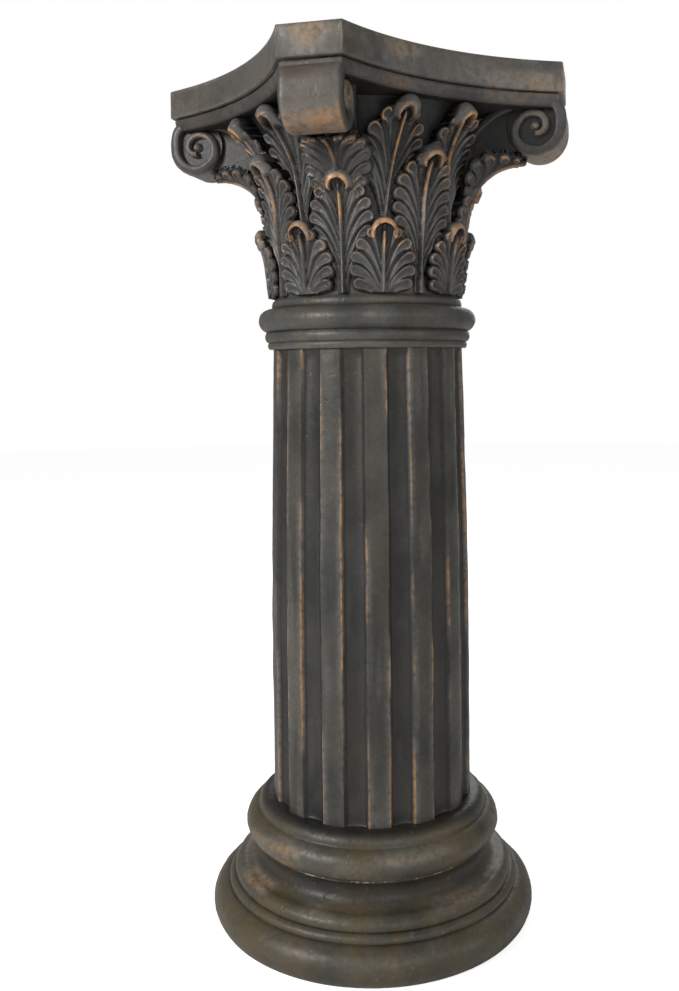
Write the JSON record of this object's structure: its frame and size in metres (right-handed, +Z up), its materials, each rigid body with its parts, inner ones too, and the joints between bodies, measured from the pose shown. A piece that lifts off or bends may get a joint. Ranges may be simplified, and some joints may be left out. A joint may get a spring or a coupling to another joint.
{
  "type": "corinthian column pedestal",
  "caption": "Display pedestal shaped as a fluted Corinthian column with a moulded round foot, leaf capital, corner volutes and a top slab with hollow sides; hollow casting, open below.",
  "frame": {"origin": "centre of the foot, on the surface it stands on", "axes": "+Z up along the axis of the column; the sides of the top slab are square to X and Y, so the volutes lie on the diagonals"},
  "size_m": [0.3302, 0.3302, 0.8509],
  "materials": {
    "painted_casting": "satin charcoal paint with brown dry-brushed edges over cast resin"
  },
  "bodies": {
    "root": {"column_pedestal": "painted_casting"}
  },
  "joints": []
}
